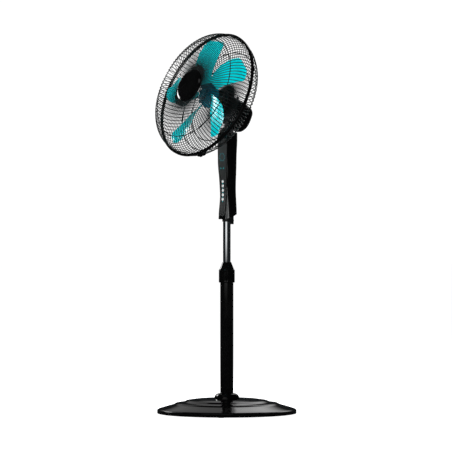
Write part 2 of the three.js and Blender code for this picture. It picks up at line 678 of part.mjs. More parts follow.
function makeGuards(group) {
  const plateFront = FRONT_DEPTH;
  const frontBend = RIM_RADIUS - 47;
  const rearRing = RIM_RADIUS * 0.627;
  const frontPlate = tube(14, FRONT_PLATE_RADIUS, plateFront, plateFront + 1.6, ROUND);
  makeGuard(group, "front_guard", 1, [
    [RIM_RADIUS - 9, 20],
    [RIM_RADIUS - 23, 45],
    [frontBend, 63.5],
    [(frontBend + FRONT_PLATE_RADIUS) / 2 + 12, 73],
    [FRONT_PLATE_RADIUS - 3, plateFront + 0.6],
  ], frontPlate, [[frontBend + 1, 63.5]]);

  const plateBack = MOTOR_FRONT + GAP - RIM_PLANE;
  const rearPlate = tube(BOSS_RADIUS + GAP, REAR_PLATE_RADIUS, plateBack, plateBack + 2.4, ROUND);
  makeGuard(group, "rear_guard", -1, [
    [RIM_RADIUS - 9, -20],
    [RIM_RADIUS - 25, -45],
    [RIM_RADIUS - 46, -60.5],
    [rearRing, -67.5],
    [REAR_PLATE_RADIUS - 1.5, plateBack + 1.4],
  ], rearPlate, [[rearRing, -66.5]]);

  // Dished nut that holds the rear guard against the motor, with ribs to grip.
  const nutLow = MOTOR_FRONT + GAP + 2.4 + GAP;
  const ribs = [];
  const ribCount = 24;
  for (let i = 0; i < ribCount; i += 1) {
    const angle = (i / ribCount) * 2 * Math.PI;
    ribs.push(rod(2.2, nutLow, NUT_FRONT - 1, 8).translate(NUT_RADIUS - 0.6, 0, 0).rotateZ(angle));
  }
  const nut = join(
    turned([
      [BOSS_RADIUS + GAP, nutLow],
      [NUT_RADIUS, nutLow],
      [NUT_RADIUS, NUT_FRONT],
      [NUT_RADIUS - 3.5, NUT_FRONT],
      [NUT_RADIUS - 4.5, nutLow + 3],
      [BOSS_RADIUS + 6, nutLow + 3],
      [BOSS_RADIUS + 5, nutLow + 9],
      [BOSS_RADIUS + GAP, nutLow + 9],
    ]),
    ...ribs,
  );
  piece(group, "guard_nut", nut, SATIN_BLACK);

  // Hoop that closes over both rims, split near the bottom and drawn together by a screw.
  const clamp = new THREE.Group();
  clamp.rotation.z = CLAMP_TURN;
  group.add(clamp);
  const [lip, half] = [RIM_RADIUS - 7, RIM_WIDTH / 2];
  const wall = 1.2;
  const hoop = turned([
    [lip, -half],
    [RIM_RADIUS, -half],
    [RIM_RADIUS, half],
    [lip, half],
    [lip, half - wall],
    [RIM_RADIUS - wall, half - wall],
    [RIM_RADIUS - wall, wall - half],
    [lip, wall - half],
  ], FINE);
  const lugDepth = 12;
  const lugY = [-RIM_RADIUS - lugDepth, -RIM_RADIUS + 1];
  const screwY = -RIM_RADIUS - lugDepth / 2;
  const ring = cut(
    join(hoop, block([-15, 15], lugY, [-half - 2, half + 2])),
    block([-1.5, 1.5], [-RIM_RADIUS - 2 * lugDepth, -RIM_RADIUS + 20], [-20, 20]),
    alongX(rod(2.3, -40, 40, SMALL)).translate(0, screwY, 0),
  );
  piece(clamp, "guard_ring", ring, GLOSS_BLACK).position.z = RIM_PLANE;
  const screw = join(
    alongX(rod(1.9, -19, 18, SMALL)),
    alongX(rod(4, 15 + GAP, 18, SMALL)),
  );
  piece(clamp, "guard_ring_screw", screw, STEEL).position.set(0, screwY, RIM_PLANE);
  const screwNut = hexNut(1.9 + FIT, 4.2, -18, -15 - GAP);
  piece(clamp, "guard_ring_nut", screwNut, STEEL).position.set(0, screwY, RIM_PLANE);

  // Domed badge on the front plate, held from behind.
  const badgeBack = RIM_PLANE + FRONT_DEPTH + 1.6 + GAP;
  const bossBack = badgeBack - 9;
  const badge = cut(
    turned([
      [0, bossBack],
      [5, bossBack],
      [5, badgeBack],
      [BADGE_RADIUS - 4, badgeBack],
      [BADGE_RADIUS, badgeBack + 1.5],
      [BADGE_RADIUS, badgeBack + 3],
      [BADGE_RADIUS - 6, badgeBack + 6],
      [BADGE_RADIUS - 20, badgeBack + 7.4],
      [0, badgeBack + 8.2],
    ], ROUND),
    rod(1.7 + GAP, bossBack - 3, badgeBack + 2, SMALL),
  );
  piece(group, "front_badge", badge, GLOSS_BLACK);
  const badgeScrew = join(
    rod(1.7, bossBack - 2, badgeBack, SMALL),
    rod(7, bossBack - 3, bossBack - GAP, SMALL),
  );
  piece(group, "badge_screw", badgeScrew, STEEL);
}

// ---- Impeller ----
// Leading and trailing edges of one blade, as angles from its tip's middle, by radius.
const degrees = THREE.MathUtils.degToRad;
const trailing = (r) =>
  between([
    [36, 32.8],
    [75, 27.4],
    [115, 21.9],
    [BLADE_TIP - 47, 16.2],
    [BLADE_TIP - 22, 10],
    [BLADE_TIP - 11, 7],
    [BLADE_TIP - 4, 3],
    [BLADE_TIP, -3],
  ], r);
const leading = (r) =>
  between([
    [36, -9],
    [75, -12.1],
    [115, -15.1],
    [BLADE_TIP - 47, -17.4],
    [BLADE_TIP - 22, -19],
    [BLADE_TIP - 11, -18.5],
    [BLADE_TIP - 4, -15],
    [BLADE_TIP, -10],
  ], r);
const bladeMiddle = (r) => between([[36, 97], [60, 106], [100, 111.5], [BLADE_TIP, 107.5]], r);
const bladeReach = (r) => between([[36, 11.1], [115, 12.3], [BLADE_TIP, 8]], r);

function blade() {
  const outlines = [];
  const [stations, points] = [9, 4];
  for (let i = 0; i <= stations; i += 1) {
    const r = BLADE_ROOT + (BLADE_TIP - BLADE_ROOT) * Math.sin((i / stations) * (Math.PI / 2));
    const faces = [[], []];
    for (let k = 0; k <= points; k += 1) {
      const share = k / points;
      const angle = degrees(leading(r) + (trailing(r) - leading(r)) * share);
      const belly = 4 * share * (1 - share) * 3;
      const z = bladeMiddle(r) + bladeReach(r) * (2 * share - 1) - belly;
      const [x, y] = [-r * Math.sin(angle), r * Math.cos(angle)];
      faces[0].push([x, y, z + BLADE_THICKNESS / 2]);
      faces[1].push([x, y, z - BLADE_THICKNESS / 2]);
    }
    outlines.push([...faces[0], ...faces[1].reverse()]);
  }
  return loft(outlines);
}

function makeImpeller(group) {
  const bore = SHAFT_RADIUS + GAP;
  const boss = 9;
  const hub = turned([
    [bore, HUB_BACK - 12],
    [boss, HUB_BACK - 12],
    [boss, HUB_FRONT - WALL],
    [HUB_RADIUS - 11, HUB_FRONT - WALL],
    [HUB_RADIUS - WALL, HUB_BACK],
    [HUB_RADIUS, HUB_BACK],
    [HUB_RADIUS - 8, HUB_FRONT - 3],
    [HUB_RADIUS - 12, HUB_FRONT],
    [bore, HUB_FRONT],
  ], ROUND);
  const blades = [];
  for (let i = 0; i < BLADE_COUNT; i += 1) {
    blades.push(blade().rotateZ(BLADE_START + (i / BLADE_COUNT) * 2 * Math.PI));
  }
  const inside = turned([
    [0, HUB_BACK - 30],
    [HUB_RADIUS - WALL, HUB_BACK - 30],
    [HUB_RADIUS - WALL, HUB_BACK],
    [HUB_RADIUS - 11, HUB_FRONT - WALL],
    [0, HUB_FRONT - WALL],
  ], ROUND);
  const pinHole = alongX(rod(1.6 + GAP, -20, 20, SMALL)).translate(0, 0, HUB_BACK - 12);
  const whole = cut(join(hub, cut(join(...blades), inside)), pinHole);
  piece(group, "fan_blades", whole, TEAL);

  const nutBack = HUB_FRONT + GAP;
  const nut = cut(
    turned([[0, nutBack], [15, nutBack], [14, nutBack + 8], [9, nutBack + 14], [0, nutBack + 15]], ROUND),
    rod(bore, nutBack - 2, SHAFT_FRONT + 1, ROUND),
  );
  piece(group, "spinner_nut", nut, TEAL);
  const rotorHole = SHAFT_RADIUS + GAP;
  piece(group, "rotor", tube(rotorHole, ROTOR_RADIUS - GAP, STATOR_BACK, STATOR_FRONT, ROUND), CAST);
  const shaft = cut(
    rod(SHAFT_RADIUS, STATOR_BACK - 20, SHAFT_FRONT, ROUND),
    alongX(rod(1.6 + GAP, -20, 20, SMALL)).translate(0, 0, HUB_BACK - 12),
  );
  piece(group, "shaft", shaft, STEEL);
  const pin = alongX(rod(1.6, -8, 8, SMALL));
  piece(group, "drive_pin", pin, STEEL).position.z = HUB_BACK - 12;
}

// ---- Assembly ----
const fan = new THREE.Group();
fan.add(makeBase(), makePole(), makeNeck());
const head = new THREE.Group();
head.position.z = AXIS_HEIGHT;
head.rotation.x = Math.PI / 2 - REST_TILT;
fan.add(head);
makeTiltBracket(head);
makeMotor(head);
makeSwingDrive(head);
makeGuards(head);
makeImpeller(head);

export default fan;
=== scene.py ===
# %% [markdown]
# # A pedestal fan, dressed in Blender
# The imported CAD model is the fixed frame: it gives every piece its place, its size and its motion.
# This lesson puts smooth, finished pieces over it. Each piece is drawn in millimetres, given a finish
# named for the real material, and told which moving body it rides on.

# %% Load the frame
import math

import bmesh
import bpy
from mathutils import Matrix, Vector


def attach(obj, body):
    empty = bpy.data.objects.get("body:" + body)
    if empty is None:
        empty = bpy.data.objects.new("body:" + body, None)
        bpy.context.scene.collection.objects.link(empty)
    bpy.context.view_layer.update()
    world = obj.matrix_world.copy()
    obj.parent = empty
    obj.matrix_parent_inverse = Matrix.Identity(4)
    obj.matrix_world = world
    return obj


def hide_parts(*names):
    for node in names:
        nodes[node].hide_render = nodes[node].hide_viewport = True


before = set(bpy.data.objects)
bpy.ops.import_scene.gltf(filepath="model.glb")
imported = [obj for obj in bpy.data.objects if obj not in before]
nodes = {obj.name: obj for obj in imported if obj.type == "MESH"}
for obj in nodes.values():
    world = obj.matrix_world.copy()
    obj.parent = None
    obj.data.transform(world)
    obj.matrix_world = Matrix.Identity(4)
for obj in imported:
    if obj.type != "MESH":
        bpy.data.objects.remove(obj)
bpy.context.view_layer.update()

# %% [markdown]
# ## Frames of reference
# The base, pole and neck are drawn upright. The head is tipped back, so it is simpler to draw it about its
# own axis (x across, y up, z forward) and to place it with one matrix.

# %% Units and placing
MM = 0.001
AXIS_HEIGHT = 1051.0
TILT = math.radians(21.5)
UPRIGHT = Matrix.Identity(4)
HEAD = Matrix(
    (
        (1, 0, 0, 0),
        (0, math.sin(TILT), -math.cos(TILT), 0),
        (0, math.cos(TILT), math.sin(TILT), AXIS_HEIGHT * MM),
        (0, 0, 0, 1),
    )
)
print("head axis points to", tuple(round(v, 3) for v in HEAD.col[2][:3]))

# %% [markdown]
# ## The camera
# A long lens from far away keeps the tall, slim shape free of distortion. It stands level with the middle
# of the pole, between the fan's front and its side.

# %% Camera
VIEW_BEARING = math.radians(50.2)
VIEW_DISTANCE = 9.7
VIEW_HEIGHT = 0.641
VIEW_ASIDE = -0.00273


def around(degrees_right, distance, height):
    """A point round the pole, counted in degrees to the right of the camera."""
    bearing = VIEW_BEARING + math.radians(degrees_right)
    return Vector((math.sin(bearing) * distance, -math.cos(bearing) * distance, height))


camera = bpy.data.objects.new("camera", bpy.data.cameras.new("camera"))
camera.data.lens = 226.3
camera.data.sensor_width = 36.0
camera.data.clip_end = 60.0
camera.location = around(0, VIEW_DISTANCE, VIEW_HEIGHT) + around(90, VIEW_ASIDE, 0)
camera.rotation_euler = (math.pi / 2, 0, VIEW_BEARING)
bpy.context.scene.collection.objects.link(camera)
bpy.context.scene.camera = camera
print("camera at", tuple(round(v, 3) for v in camera.location))

# %% [markdown]
# ## Colour and nodes
# Colours are written as the hex values a designer would give, and one function turns them to the linear
# light that Blender works in. One more function adds a node with its settings and its links.


# %% Colour and node helpers
def linear(hex_colour):
    """An sRGB hex value as linear red, green, blue and alpha."""
    channels = [int(hex_colour[i : i + 2], 16) / 255 for i in (1, 3, 5)]
    light = [c / 12.92 if c <= 0.04045 else ((c + 0.055) / 1.055) ** 2.4 for c in channels]
    return (*light, 1.0)


def add(tree, kind, inputs=None, **settings):
    """Adds one node; an input is a plain value or another node's socket."""
    made = tree.nodes.new("ShaderNode" + kind)
    for name, value in settings.items():
        setattr(made, name, value)
    for name, value in (inputs or {}).items():
        if isinstance(value, bpy.types.NodeSocket):
            tree.links.new(value, made.inputs[name])
        else:
            made.inputs[name].default_value = value
    return made


def new_material(name):
    """An empty node material and its tree."""
    made = bpy.data.materials.new(name)
    made.use_nodes = True
    made.node_tree.nodes.clear()
    return made, made.node_tree


def shade(ramp_node, stops):
    """Gives a colour ramp its (position, hex) stops and returns its socket."""
    elements = ramp_node.color_ramp.elements
    while len(elements) < len(stops):
        elements.new(0.5)
    for element, (position, hex_colour) in zip(elements, stops):
        element.position = position
        element.color = linear(hex_colour)
    return ramp_node.outputs[0]


print("deep black is", [round(c, 4) for c in linear("#060606")])

# %% [markdown]
# ## How a finish is built
# Almost every part of a fan is moulded, painted or plated, so its colour is nearly even. What the eye reads
# as real is a slow drift in colour, patches of slightly different polish, and a fine grain that breaks up
# the reflections. The helper makes these three layers from noise whose sizes are real millimetres. Grain
# finer than about a millimetre can't be seen from here, so it is drawn a little coarser than it is.


# %% The layered finish
def finish(name, colours, roughness, grain_mm, depth_mm, patch_mm=40, stretch=(1, 1, 1), **fixed):
    """Colour drift between two hex colours, polish between two roughnesses, and grain of a real size."""
    made, tree = new_material(name)
    place = add(tree, "TexCoord").outputs["Object"]
    place = add(tree, "Mapping", {"Vector": place, "Scale": stretch}).outputs[0]
    patches = add(tree, "TexNoise", {"Vector": place, "Scale": 1 / (patch_mm * MM), "Detail": 3.0})
    grain = add(tree, "TexNoise", {"Vector": place, "Scale": 1 / (grain_mm * MM), "Detail": 2.0})
    stops = [(0.35, colours[0]), (0.65, colours[1])]
    colour = shade(add(tree, "ValToRGB", {"Fac": patches.outputs["Fac"]}), stops)
    low, high = roughness
    polish = add(
        tree,
        "MapRange",
        {"Value": patches.outputs["Fac"], "From Min": 0.3, "From Max": 0.7, "To Min": low, "To Max": high},
    )
    bump = add(
        tree, "Bump", {"Height": grain.outputs["Fac"], "Distance": depth_mm * MM, "Strength": 1.0}
    )
    sockets = {"Base Color": colour, "Roughness": polish.outputs[0], "Normal": bump.outputs[0]}
    shader = add(tree, "BsdfPrincipled", {**sockets, **fixed})
    add(tree, "OutputMaterial", {"Surface": shader.outputs[0]})
    return made


# %% [markdown]
# ### Black plastics and paint
# The housings are ABS, injection moulded against a mirror-polished steel tool: deep black, with a very
# shallow waviness a few millimetres long. Hidden and gripping parts come from a spark-eroded tool, which
# leaves a fine satin grain. The pole is steel tube under a stoved black enamel.

# %% Black finishes
BLACK_IOR = {"IOR": 1.5, "Specular IOR Level": 0.35}
gloss_abs = finish("gloss_abs", ("#030303", "#050505"), (0.08, 0.13), 4.0, 0.006, **BLACK_IOR)
satin_abs = finish("satin_abs", ("#0B0C0C", "#111212"), (0.36, 0.48), 1.2, 0.02, **BLACK_IOR)
# painted reflection: this lighter grey on the neck's two chamfer facets stands for a soft box mirrored in
# them
painted_reflection_abs = finish("painted_reflection_abs", ("#545555", "#5C5D5D"), (0.4, 0.5), 1.2, 0.015, **BLACK_IOR)
stove_enamel = finish("stove_enamel", ("#040404", "#070707"), (0.10, 0.16), 2.5, 0.006, **BLACK_IOR)
coated_wire = finish("coated_wire", ("#0C0E0E", "#141616"), (0.38, 0.5), 2.0, 0.01, **BLACK_IOR)
print("black finishes", len(bpy.data.materials))

# %% [markdown]
# ### Colour and print
# The blades are SAN, a clear hard styrene tinted teal and moulded thin, so light seen on them is bright and
# clean. It is drawn opaque here, and the hub is painted a darker teal as painted shade for the dark motor
# seen through it. The control panel wears a matt polycarbonate film, printed from behind in a muted teal.

# %% Colour finishes
SAN_GLOSS = {"IOR": 1.57, "Coat Weight": 0.2}
tinted_san = finish("tinted_san", ("#02C8CF", "#03DAE2"), (0.16, 0.24), 8.0, 0.01, 90, **SAN_GLOSS)
# painted shade: a darker teal for the hub, standing for the dark motor seen through the clear plastic
painted_shade_san = finish("painted_shade_san", ("#00485A", "#005F70"), (0.2, 0.3), 6.0, 0.01, 30, **SAN_GLOSS)
button_abs = finish("button_abs", ("#BEC2C2", "#CBCFCF"), (0.25, 0.32), 1.0, 0.008, patch_mm=6, IOR=1.5)
panel_film = finish("panel_film", ("#141616", "#191B1B"), (0.44, 0.52), 1.0, 0.01, IOR=1.58)
printed_ink = finish("printed_ink", ("#1A98A2", "#1FA6B0"), (0.4, 0.5), 0.8, 0.004, patch_mm=4, IOR=1.5)
print("with colour", len(bpy.data.materials))

# %% [markdown]
# ### Metals and the rest
# The sliding tube is steel under bright chromium, polished along its length, so its faint lines are drawn
# fifty times longer than wide. The screws are zinc plated, the weight is cast iron, the bushes are sintered
# bronze, and the motor's coils are enamelled copper wire laid in turns.

# %% Metal finishes
CHROME_LINES = (1, 1, 0.02)
chromed_steel = finish(
    "chromed_steel", ("#D9DCDD", "#CDD1D3"), (0.05, 0.09), 0.8, 0.0006, 60, CHROME_LINES, Metallic=1.0
)
zinc_steel = finish("zinc_steel", ("#9A9C9E", "#868A8E"), (0.28, 0.42), 1.5, 0.01, 6, Metallic=1.0)
cast_iron = finish("cast_iron", ("#45474A", "#323436"), (0.55, 0.75), 1.8, 0.08, 12, Metallic=1.0)
sintered_bronze = finish("sintered_bronze", ("#A9843F", "#8F6D33"), (0.42, 0.58), 0.8, 0.03, 5, Metallic=1.0)
foot_rubber = finish("foot_rubber", ("#161616", "#1E1E1E"), (0.75, 0.9), 0.8, 0.03, IOR=1.52)
print("with metals", len(bpy.data.materials))

# %% [markdown]
# The coils and the circuit board have a pattern of their own: turns of 0.5 mm wire drawn as bands, and
# copper tracks 1 mm wide under green solder resist.


# %% Coil and board finishes
def banded(name, stops, pitch_mm, direction, roughness, metallic, depth_mm):
    """A surface of parallel bands, such as wound wire or etched tracks."""
    made, tree = new_material(name)
    place = add(tree, "TexCoord").outputs["Object"]
    turns_per_unit = 1 / (pitch_mm * MM)
    wave = add(
        tree,
        "TexWave",
        {"Vector": place, "Scale": turns_per_unit * 0.05, "Distortion": 1.5, "Detail": 1.0},
        wave_type="BANDS",
        bands_direction=direction,
    )
    colour = shade(add(tree, "ValToRGB", {"Fac": wave.outputs["Fac"]}), stops)
    bump = add(tree, "Bump", {"Height": wave.outputs["Fac"], "Distance": depth_mm * MM})
    shader = add(
        tree,
        "BsdfPrincipled",
        {"Base Color": colour, "Normal": bump.outputs[0], "Roughness": roughness, "Metallic": metallic},
    )
    add(tree, "OutputMaterial", {"Surface": shader.outputs[0]})
    return made


enamelled_copper = banded("enamelled_copper", [(0.3, "#7A3F1A"), (0.7, "#C07A3C")], 1.5, "Z", 0.35, 1.0, 0.3)
solder_resist = banded("solder_resist", [(0.4, "#123E26"), (0.6, "#1F6A40")], 3.0, "X", 0.35, 0.0, 0.05)
print("finishes in all", len(bpy.data.materials))

# %% [markdown]
# ## Forms
# Every shape here is a form: a list of points in millimetres and a list of faces. A handful of small
# functions spin, skin, sweep, move and repeat forms, which is how turned, moulded and bent parts are made.


# %% Making forms
def spin(profile, steps=96, closed=True):
    """Turns a profile of (radius, height) points round Z, as on a lathe."""
    count = len(profile)
    links = count if closed else count - 1
    points, faces = [], []
    for k in range(steps):
        angle = 2 * math.pi * k / steps
        points += [(r * math.cos(angle), r * math.sin(angle), h) for r, h in profile]
        here, ahead = k * count, ((k + 1) % steps) * count
        for i in range(links):
            j = (i + 1) % count
            faces.append((here + i, ahead + i, ahead + j, here + j))
    return points, faces


def skin(rings, loop=True, caps=True):
    """Joins rings of equal point counts, in order, and closes both ends."""
    count = len(rings[0])
    points = [p for ring in rings for p in ring]
    faces = []
    for k in range(len(rings) - 1):
        for i in range(count if loop else count - 1):
            j = (i + 1) % count
            faces.append((k * count + i, k * count + j, (k + 1) * count + j, (k + 1) * count + i))
    if caps:
        last = (len(rings) - 1) * count
        faces += [tuple(reversed(range(count))), tuple(last + i for i in range(count))]
    return points, faces


def sweep(path, radius, across, sides=8):
    """A round wire along a path that lies in one plane; across is that plane's normal."""
    across = Vector(across).normalized()
    rings = []
    for i, point in enumerate(path):
        ahead = Vector(path[min(i + 1, len(path) - 1)])
        behind = Vector(path[max(i - 1, 0)])
        beside = across.cross(ahead - behind).normalized()
        turns = [2 * math.pi * k / sides for k in range(sides)]
        ring = [Vector(point) + radius * (math.cos(t) * beside + math.sin(t) * across) for t in turns]
        rings.append([tuple(p) for p in ring])
    return skin(rings)


def together(*forms):
    """Several forms as one."""
    points, faces = [], []
    for more_points, more_faces in forms:
        start = len(points)
        points += more_points
        faces += [tuple(start + i for i in face) for face in more_faces]
    return points, faces


def moved(form, matrix):
    """A form carried by a matrix in millimetres."""
    points, faces = form
    return [tuple(matrix @ Vector(p)) for p in points], faces


def repeated(form, count, start=0.0):
    """Copies of a form, evenly round Z."""
    turns = [start + 2 * math.pi * k / count for k in range(count)]
    return together(*[moved(form, Matrix.Rotation(turn, 4, "Z")) for turn in turns])


print("form makers ready")

# %% [markdown]
# Moulded parts have no sharp edges, so corners are rounded in the profile itself. The smooth path runs a
# curve through a few points, and the table lookup eases from row to row.


# %% Rounding and easing
def softened(corners, closed=True, steps=5):
    """Rounds the corners of a profile; each is (across, up, fillet radius)."""
    count = len(corners)
    out = []
    for i, (x, y, fillet) in enumerate(corners):
        here = Vector((x, y))
        if fillet <= 0 or (not closed and i in (0, count - 1)):
            out.append((x, y))
            continue
        before = Vector(corners[i - 1][:2]) - here
        after = Vector(corners[(i + 1) % count][:2]) - here
        half = before.angle(after) / 2
        reach = min(fillet / math.tan(half), before.length * 0.48, after.length * 0.48)
        start, end = here + before.normalized() * reach, here + after.normalized() * reach
        for k in range(steps + 1):
            t = k / steps
            point = (1 - t) ** 2 * start + 2 * t * (1 - t) * here + t * t * end
            out.append((point.x, point.y))
    return out


def box(x, y, z, edge=0.0):
    """A block from three (low, high) pairs."""
    ring = [(x[0], y[0]), (x[1], y[0]), (x[1], y[1]), (x[0], y[1])]
    outline = softened([(a, b, edge) for a, b in ring], steps=4)
    return skin([[(a, b, h) for a, b in outline] for h in z])


def smooth_path(points, steps=5):
    """A curve through points of any dimension, steps pieces between each pair."""
    ends = [points[0], *points, points[-1]]
    out = []
    for i in range(1, len(ends) - 2):
        a, b, c, d = (Vector(p) for p in ends[i - 1 : i + 3])
        for k in range(steps):
            t = k / steps
            bend = 2 * a - 5 * b + 4 * c - d
            twist = 3 * b - a - 3 * c + d
            out.append(tuple((2 * b + (c - a) * t + bend * t * t + twist * t**3) / 2))
    return [*out, tuple(points[-1])]


def between(rows, place):
    """The value at a place in (place, value) rows, eased from row to row."""
    for (low, first), (high, second) in zip(rows, rows[1:]):
        if place <= high:
            t = min(1.0, max(0.0, (place - low) / (high - low)))
            return first + (second - first) * t * t * (3 - 2 * t)
    return rows[-1][1]


def curved(rows):
    """A lookup that follows one smooth curve through all its (place, value) rows."""
    path = smooth_path(rows, 8)

    def value(place):
        for (low, first), (high, second) in zip(path, path[1:]):
            if place <= high:
                t = min(1.0, max(0.0, (place - low) / (high - low)))
                return first + (second - first) * t
        return path[-1][1]

    return value


print("half way up an eased row:", between([(0, 0), (10, 4)], 5))

# %% [markdown]
# ## From form to piece
# A piece is a form with a finish, a body to ride on, and the CAD nodes it stands for.
# Cutters are taken away with an exact boolean, as a drill or a core pin in the mould would.


# %% Making pieces
def mesh_of(form, crease=40.0):
    """A Blender mesh from a form in millimetres, smooth where its faces meet gently."""
    points, faces = form
    build = bmesh.new()
    corners = [build.verts.new(Vector(p) * MM) for p in points]
    for face in faces:
        build.faces.new([corners[i] for i in face])
    bmesh.ops.remove_doubles(build, verts=build.verts, dist=1e-6)
    bmesh.ops.recalc_face_normals(build, faces=build.faces)
    mesh = bpy.data.meshes.new("form")
    build.to_mesh(mesh)
    build.free()
    mesh.shade_smooth()
    mesh.set_sharp_from_angle(angle=math.radians(crease))
    return mesh


def applied(obj, crease=40.0):
    """Keeps the result of an object's modifiers as its mesh."""
    bpy.context.view_layer.update()
    result = bpy.data.meshes.new_from_object(obj.evaluated_get(bpy.context.evaluated_depsgraph_get()))
    obj.modifiers.clear()
    obj.data = result
    result.shade_smooth()
    result.set_sharp_from_angle(angle=math.radians(crease))


def make(name, form, look, body, stands_for=(), place=UPRIGHT, cutters=(), thickness=0.0, crease=40.0):
    """A finished piece that rides on a body."""
    obj = bpy.data.objects.new(name, mesh_of(form, crease))
    bpy.context.scene.collection.objects.link(obj)
    if thickness:
        wall = obj.modifiers.new("wall", "SOLIDIFY")
        wall.thickness = thickness * MM
        wall.offset = -1.0
    tools = []
    for cutter in cutters:
        tool = bpy.data.objects.new("cutter", mesh_of(cutter))
        bpy.context.scene.collection.objects.link(tool)
        drill = obj.modifiers.new("drill", "BOOLEAN")
        drill.object = tool
        drill.solver = "EXACT"
        tools.append(tool)
    if thickness or cutters:
        applied(obj, crease)
    for tool in tools:
        bpy.data.objects.remove(tool)
    obj.data.materials.clear()
    for one in look if isinstance(look, (list, tuple)) else [look]:
        obj.data.materials.append(one)
    obj.data.transform(place)
    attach(obj, body)
    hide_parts(*stands_for)
    size = [round(v * 1000) for v in obj.dimensions]
    print(f"{name}: {len(obj.data.polygons)} faces, {size} mm, on {body}")
    return obj


def rod(radius, low, high, sides=32):
    """A plain round bar along Z, used as a drill."""
    return spin([(0, low), (radius, low), (radius, high), (0, high)], sides)


def along(axis, form, shift=(0, 0, 0)):
    """A form drawn along Z, laid along X or Y and shifted."""
    lay = Matrix.Rotation(math.pi / 2, 4, "Y") if axis == "X" else Matrix.Rotation(-math.pi / 2, 4, "X")
    return moved(form, Matrix.Translation(shift) @ lay)


# %% [markdown]
# ## Base
# The base is a wide shallow dome moulded in one piece. Its top rises in two soft steps, which stiffen it
# and catch a crescent of light, and it drops to a thin upright edge.

# %% Base cover
BASE_RADIUS = 238
BASE_RISE = 53
BASE_WALL = 4
BOLT_HOLE = 6.4
base_top = [
    (BASE_RADIUS, 3, 0.5),
    (BASE_RADIUS, 14.5, 2.5),
    (232, 18.0, 6),
    (218, 22.3, 30),
    (181, 33.0, 26),
    (174, 37.6, 8),
    (150, 40.2, 14),
    (137, 46.4, 10),
    (109, 50.4, 40),
    (43, BASE_RISE, 20),
    (BOLT_HOLE, BASE_RISE, 0),
    (BOLT_HOLE, BASE_RISE - BASE_WALL, 0),
    (42, BASE_RISE - BASE_WALL, 0),
    (106, 47.0, 0),
    (134, 42.6, 4),
    (150, 36.6, 4),
    (172, 34.0, 4),
    (216, 19.0, 4),
    (234.5, 13.5, 1),
    (234.5, 3, 0.4),
]
make("base_dome", spin(softened(base_top), 160), gloss_abs, "base", ["base_cover"])

# %% [markdown]
# A domed collar hides the joint between base and pole.

# %% Collar and pole
POLE_RADIUS = 22.5
POLE_WALL = 1.5
POLE_LOW, POLE_HIGH = 53.3, 478
collar = [
    (22.8, POLE_LOW, 0),
    (43.5, POLE_LOW, 0.6),
    (43.2, 55.0, 2.0),
    (40.0, 63.0, 12),
    (34.0, 68.6, 10),
    (28.5, 69.9, 4),
    (25.0, 70.0, 1),
    (23.4, 68.8, 0.5),
    (22.8, 68.8, 0),
]
make("pole_collar_cover", spin(softened(collar)), gloss_abs, "base", ["pole_collar"])
pole = [
    (POLE_RADIUS - POLE_WALL, POLE_LOW, 0),
    (POLE_RADIUS, POLE_LOW, 0.3),
    (POLE_RADIUS, POLE_HIGH, 0.7),
    (POLE_RADIUS - POLE_WALL, POLE_HIGH, 0.5),
]
make("pole_tube", spin(softened(pole), 96), stove_enamel, "base", ["outer_pole"])

# %% [markdown]
# The collar that locks the height is turned by hand, so its body is shallowly fluted, and its cone closes
# on the chromed tube.


# %% Lock collar and sliding tube
def fluted(profile, flutes, depth, low, high, steps=144):
    """A turned profile whose outside is scalloped between two heights."""
    points, faces = spin(profile, steps)
    limit = max(r for r, _ in profile) - 1.5
    carved = []
    for x, y, z in points:
        r = math.hypot(x, y)
        share = between([(low, 0), (low + 2, 1), (high - 2, 1), (high, 0)], z) if low < z < high else 0
        if r > limit and share:
            r_new = r - depth * share * (0.5 - 0.5 * math.cos(flutes * math.atan2(y, x)))
            x, y = x * r_new / r, y * r_new / r
        carved.append((x, y, z))
    return carved, faces


lock_steps = [(27.3, z, 0) for z in range(452, 490, 3)]
lock = [
    (22.9, 448, 0),
    (25.8, 448, 0.5),
    (27.3, 450, 1.2),
    *lock_steps,
    (27.3, 491.0, 1.0),
    (24.2, 494.4, 1.2),
    (16.8, 513.5, 1.5),
    (15.2, 518, 0.8),
    (13.4, 518, 0.3),
    (13.4, 494, 0),
    (22.9, 484, 0),
]
make(
    "lock_ring",
    fluted(softened(lock), 24, 0.5, 451, 490),
    gloss_abs,
    "lock",
    ["lock_collar"],
)
TUBE_RADII = (11.8, 13)
TUBE_LOW, TUBE_HIGH = 330, 704
inside, outside = TUBE_RADII
tube = [
    (inside, TUBE_LOW, 0.4),
    (outside, TUBE_LOW, 0.4),
    (outside, TUBE_HIGH, 0.4),
    (inside, TUBE_HIGH, 0.4),
]
make("chrome_tube", spin(softened(tube), 64), chromed_steel, "column", ["inner_pole"])

# %% [markdown]
# ## Neck
# The neck is a hollow moulding in two halves, split along its sides. It is waisted: wide under the head,
# slim at the buttons, and flared again at the bottom. Its cross-section has a flat front for the panel, two
# chamfers that grow downwards, and a round back. Tables of widths by height give that shape.

# %% Neck measurements
NECK_HALF = [(660, 25.6), (757, 22.4), (860, 26), (940, 27)]
NECK_FRONT = [(660, 22), (757, 15.6), (860, 19.4), (940, 19.8)]
NECK_REAR = [(660, 37.8), (757, 34.8), (860, 36.4), (940, 40)]
PANEL_HALF = [(660, 17), (757, 15.5), (870, 23.6), (940, 24.4)]
CHAMFER = [(660, 12), (775, 3)]
NECK_BOTTOM = 660
NECK_TOP = 960
NECK_OPENING = (23.6, 16)
NECK_WALL = 2.5
SEAM = 0.15
SLOPE_LOW, SLOPE_HIGH = 664, 684
GREY_FACET_TOP = 775
GREY_FACET_FRONT = (0.98, 0.5)  # outer and inner edge of the front grey facet, a painted reflection, as shares of half the chamfer
GREY_FACET_REAR = (0.04, 0.94)
FOLD_DEPTH = 0.9


def flat_half(z, half):
    """Half the width of the flat front, a little wider than the panel."""
    return min(between(PANEL_HALF, z) + 1, half - 1.5)


